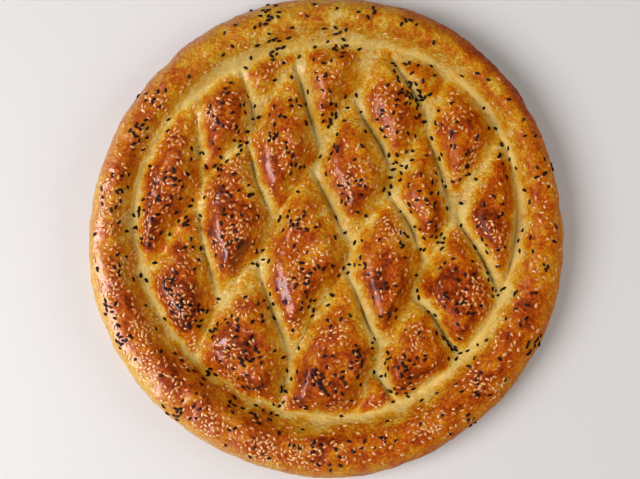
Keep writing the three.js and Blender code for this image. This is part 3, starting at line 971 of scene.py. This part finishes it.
class Scatter:
    """Places of seeds on the finished loaf, drawn at random from a fixed start"""

    def __init__(self, context, start):
        self.form = LoafForm(context.scene)
        self.draws = np.random.default_rng(context.scene.pide_seeds.seed + start)
        depsgraph = context.evaluated_depsgraph_get()
        self.crust = BVHTree.FromObject(bpy.data.objects["loaf_crust"], depsgraph)
        self.taken = {}

    def free(self, point, spacing):
        """Whether no seed lies nearer than the spacing, which takes the place if so."""
        cell = (int(point[0] // spacing), int(point[1] // spacing))
        for i in (-1, 0, 1):
            for j in (-1, 0, 1):
                for other in self.taken.get((cell[0] + i, cell[1] + j), ()):
                    if math.dist(point, other) < spacing:
                        return False
        self.taken.setdefault(cell, []).append(point)
        return True

    def over_loaf(self, count, weight, spacing):
        """Points all over the loaf, as thick on the ground as the weight says."""
        places = []
        reach = self.form.shape.loaf_radius - BARE_EDGE
        while len(places) < count:
            radius = reach * np.sqrt(self.draws.random(DRAWS_AT_ONCE))
            angle = 2 * math.pi * self.draws.random(DRAWS_AT_ONCE)
            points = on_circle(radius, angle)
            chosen = points[self.draws.random(DRAWS_AT_ONCE) < weight(points)].tolist()
            places += [point for point in chosen if self.free(point, spacing)]
        return places[:count]

    def in_clumps(self, clumps, spacing):
        """Points close round each clump's middle."""
        places = []
        for x, y, count in clumps:
            for _ in range(count * CLUMP_TRIES):
                point = (np.array((x, y)) * MM + CLUMP_SPREAD * self.draws.standard_normal(2)).tolist()
                if count and self.free(point, spacing):
                    places.append(point)
                    count -= 1
        return places

    def seats(self, places):
        """Point on the crust and three axes of a seed lying there, for each place over the loaf."""
        down = Vector((0, 0, -1))
        middles, turns = [], []
        for x, y in places:
            hit, normal, _, _ = self.crust.ray_cast(Vector((x, y, DROP_HEIGHT)), down)
            if hit is None:
                continue
            lean = Vector(self.draws.normal(0, SEED_LEAN, 3))
            upright = (normal + lean).normalized()
            yaw = 2 * math.pi * self.draws.random()
            along = Vector((math.cos(yaw), math.sin(yaw), 0))
            along = (along - upright * along.dot(upright)).normalized()
            middles.append(hit)
            turns.append((along, upright.cross(along), upright))
        return np.array(middles), np.array(turns)


def joined_seeds(name, scatter, places, template, size, sunk):
    """One mesh of a seed on each place."""
    shape, faces = template
    middles, turns = scatter.seats(places)
    growth = scatter.draws.uniform(*SEED_GROWTH, len(middles))
    local = shape[None, :, :] * np.array(size) * growth[:, None, None]
    middles = middles + turns[:, 2] * (size[2] * (SEED_RADIUS - sunk) * growth)[:, None]
    points = middles[:, None, :] + np.einsum("npa,nab->npb", local, turns)
    starts = range(0, len(middles) * len(shape), len(shape))
    all_faces = [tuple(corner + start for corner in face) for start in starts for face in faces]
    mesh = bpy.data.meshes.new(name)
    mesh.from_pydata(points.reshape(-1, 3), [], all_faces)
    seeds = bpy.data.objects.new(name, mesh)
    bpy.context.scene.collection.objects.link(seeds)
    bpy.ops.object.select_all(action="DESELECT")
    seeds.select_set(True)
    bpy.context.view_layer.objects.active = seeds
    bake, _ = scatter.form.top_finish(middles[:, :2])
    tone = np.clip(TONE_BY_BAKE * bake + scatter.draws.normal(0, TONE_SPREAD, len(middles)), 0, 1)
    store(mesh, "tone", np.repeat(tone, len(shape)))
    return seeds


class PIDE_OT_sprinkle_nigella(bpy.types.Operator):
    """Scatters nigella seeds over the crust, in clumps and alone"""

    bl_idname = "pide.sprinkle_nigella"
    bl_label = "Sprinkle nigella"

    def execute(self, context):
        seeds = context.scene.pide_seeds
        scatter = Scatter(context, NIGELLA_START)
        spacing = NIGELLA_SPACING * seeds.nigella_size[0]

        def weight(points):
            bake, damp = scatter.form.top_finish(points)
            return NIGELLA_ON_DOUGH + NIGELLA_ON_CRUST * bake + NIGELLA_IN_GROOVES * damp

        middles = scatter.over_loaf(seeds.pinches, weight, PINCH_SPACING * spacing)
        scatter.taken.clear()
        pinches = [(x / MM, y / MM, scatter.draws.integers(*PINCH_SEEDS)) for x, y in middles]
        clumped = scatter.in_clumps((*NIGELLA_CLUMPS, *pinches), CLUMP_SPACING * spacing)
        places = clumped + scatter.over_loaf(seeds.nigella_count - len(clumped), weight, spacing)
        template = seed_template(*NIGELLA_SHAPE)
        nigella = joined_seeds("nigella_seeds", scatter, places, template, seeds.nigella_size, seeds.sunk)
        bpy.ops.object.shade_smooth_by_angle(angle=math.radians(NIGELLA_EDGE))
        dress(nigella, nigella_finish(context.scene.pide_colours))
        return {"FINISHED"}


class PIDE_OT_sprinkle_sesame(bpy.types.Operator):
    """Scatters sesame seeds over the crust, thickest on the crests and the near part of the rim"""

    bl_idname = "pide.sprinkle_sesame"
    bl_label = "Sprinkle sesame"

    def execute(self, context):
        seeds = context.scene.pide_seeds
        scatter = Scatter(context, SESAME_START)
        handfuls = np.array(scatter.over_loaf(seeds.handfuls, lambda points: 1.0, HANDFUL_SPACING))

        def weight(points):
            bake, _ = scatter.form.top_finish(points)
            away = np.linalg.norm(points[:, None, :] - handfuls[None, :, :], axis=2).min(axis=1)
            near = np.exp(-(away / HANDFUL_RADIUS) ** 2)
            angle = angle_of(points)
            on_rim = smooth_rise(radius_of(points) / scatter.form.shape.loaf_radius, *SESAME_RIM_SPAN)
            side = 1 + on_rim * by_side(angle, SESAME_RIM_SIDES)
            thickness = SESAME_ON_DOUGH + bake ** 2 + on_rim * by_side(angle, SESAME_CLING_SIDES)
            return thickness * (SESAME_ASTRAY + (1 - SESAME_ASTRAY) * near) * side

        scatter.taken.clear()
        places = scatter.over_loaf(seeds.sesame_count, weight, SESAME_SPACING * seeds.sesame_size[0])
        template = seed_template(*SESAME_SHAPE)
        sesame = joined_seeds("sesame_seeds", scatter, places, template, seeds.sesame_size, seeds.sunk)
        bpy.ops.object.shade_smooth()
        dress(sesame, sesame_finish(context.scene.pide_colours))
        return {"FINISHED"}


def towards(angle, elevation):
    """Direction of a light at an angle round the loaf and an elevation above the horizon."""
    level = Vector((math.cos(angle), math.sin(angle), 0))
    return level * math.cos(elevation) + Vector((0, 0, math.sin(elevation)))


def add_area_light(name, place, aim, size, power, tint):
    lamp = bpy.data.lights.new(name, "AREA")
    lamp.shape = "DISK"
    lamp.size = size
    lamp.energy = power
    lamp.color = tint
    light = bpy.data.objects.new(name, lamp)
    light.location = place
    light.rotation_euler = (aim - place).to_track_quat("-Z", "Y").to_euler()
    bpy.context.scene.collection.objects.link(light)
    return light


def add_lights(stage, colours):
    """A main light and a weaker one opposite, which show in no sheen, and a low one seen only in it."""
    middle = Vector((0, 0, stage.aim[2]))
    place = middle + stage.key_distance * towards(stage.key_angle, stage.key_elevation)
    key = add_area_light("key", place, middle, stage.key_size, stage.key_power, colours.key_light)
    key.visible_glossy = False
    place = middle + Vector(stage.fill_place)
    fill = add_area_light("fill", place, middle, stage.fill_size, stage.fill_power, colours.fill_light)
    fill.visible_glossy = False
    place = middle + stage.glint_distance * towards(stage.key_angle, stage.glint_elevation)
    glint = add_area_light("glint", place, middle, stage.glint_size, stage.glint_power, colours.key_light)
    glint.visible_diffuse = False


def add_sky(scene, strength):
    """Even light from all round, which shows in no sheen."""
    world = bpy.data.worlds.new("studio")
    world.use_nodes = True
    scene.world = world
    sky = world.node_tree.nodes["Background"]
    sky.inputs["Color"].default_value = WHITE
    sky.inputs["Strength"].default_value = strength
    world.cycles_visibility.glossy = False


def add_camera(scene, stage):
    lens = bpy.data.cameras.new("camera")
    lens.lens = lens.sensor_width * stage.camera_distance / stage.view_width
    camera = bpy.data.objects.new("camera", lens)
    back = Vector((0, -math.cos(stage.camera_elevation), math.sin(stage.camera_elevation)))
    camera.location = Vector(stage.aim) + stage.camera_distance * back
    camera.rotation_euler = (-back).to_track_quat("-Z", "Y").to_euler()
    scene.collection.objects.link(camera)
    scene.camera = camera


class PIDE_OT_set_stage(bpy.types.Operator):
    """Adds the floor, the lights and the camera above the loaf"""

    bl_idname = "pide.set_stage"
    bl_label = "Set the stage"

    def execute(self, context):
        scene = context.scene
        bpy.ops.object.select_all(action="DESELECT")
        bpy.ops.mesh.primitive_plane_add(size=scene.pide_stage.floor_width)
        floor = context.object
        floor.name = "floor"
        floor.data.materials.append(floor_finish(scene.pide_colours))
        add_lights(scene.pide_stage, scene.pide_colours)
        add_sky(scene, scene.pide_stage.sky)
        add_camera(scene, scene.pide_stage)
        scene.view_settings.view_transform = "Standard"
        return {"FINISHED"}


class PIDE_PT_tools(bpy.types.Panel):
    """Lists the steps that make the pide, and its settings"""

    bl_label = "Pide"
    bl_space_type = "VIEW_3D"
    bl_region_type = "UI"
    bl_category = "Pide"

    def draw(self, context):
        for operator in OPERATORS:
            self.layout.operator(operator.bl_idname)
        for group, settings in GROUPS.items():
            for name in group.__annotations__:
                self.layout.prop(getattr(context.scene, settings), name)


GROUPS = {
    PideShape: "pide_shape",
    PideBaking: "pide_baking",
    PideSeeds: "pide_seeds",
    PideColours: "pide_colours",
    PideStage: "pide_stage",
}
OPERATORS = (PIDE_OT_bake_loaf, PIDE_OT_sprinkle_nigella, PIDE_OT_sprinkle_sesame, PIDE_OT_set_stage)


def register():
    for item in (*GROUPS, *OPERATORS, PIDE_PT_tools):
        bpy.utils.register_class(item)
    for group, name in GROUPS.items():
        setattr(bpy.types.Scene, name, bpy.props.PointerProperty(type=group))


def unregister():
    for name in GROUPS.values():
        delattr(bpy.types.Scene, name)
    for item in (PIDE_PT_tools, *OPERATORS, *GROUPS):
        bpy.utils.unregister_class(item)


def main():
    register()
    bpy.ops.pide.bake_loaf()
    bpy.ops.pide.sprinkle_nigella()
    bpy.ops.pide.sprinkle_sesame()
    bpy.ops.pide.set_stage()


if __name__ == "__main__":
    main()
